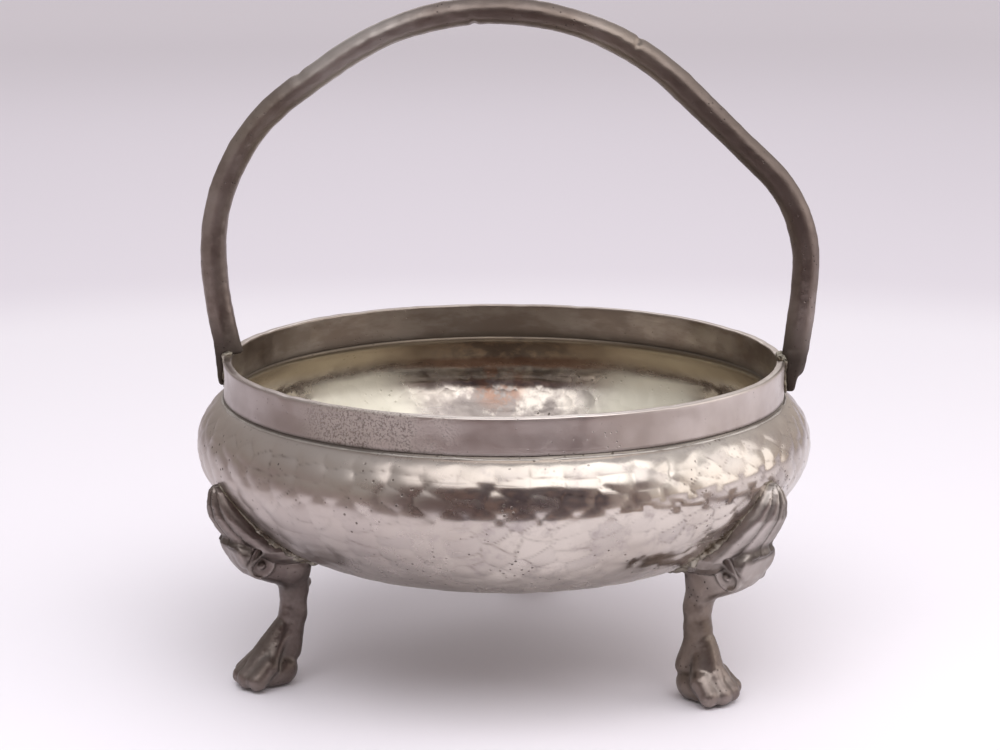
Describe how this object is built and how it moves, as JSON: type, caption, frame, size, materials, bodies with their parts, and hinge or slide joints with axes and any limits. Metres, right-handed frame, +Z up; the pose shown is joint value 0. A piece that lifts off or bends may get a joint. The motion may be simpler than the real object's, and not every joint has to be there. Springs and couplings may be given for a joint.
{
  "type": "shaving bowl",
  "caption": "Squat hammered pewter shaving bowl with a smooth upright rim band, a fixed arched carrying handle over the mouth, and cast paw feet with leaf-shaped mounts.",
  "frame": {"origin": "on the bowl's axis, on the flat surface that the paws stand on", "axes": "+Z up; the handle spans X, with its round shoulder at -X; -Y is the front, where the picture was taken from, and one foot is at the back"},
  "size_m": [0.1326, 0.1329, 0.1428],
  "materials": {
    "hammered_pewter": "hammered, worn, pitted pewter",
    "band_pewter": "smooth satin pewter with fine pits",
    "rod_pewter": "dull drawn pewter with a dark patina",
    "cast_pewter": "cast pewter, dark in its hollows",
    "solder": "rough, grey-brown soft solder"
  },
  "bodies": {
    "root": {"bowl_shell": "hammered_pewter", "rim_band": "band_pewter", "seam_solder": "solder", "handle": "rod_pewter", "handle_solder_left": "solder", "handle_solder_right": "solder", "foot_left": "cast_pewter", "foot_right": "cast_pewter", "foot_back": "cast_pewter", "foot_solder_left": "solder", "foot_solder_right": "solder", "foot_solder_back": "solder"}
  },
  "joints": []
}
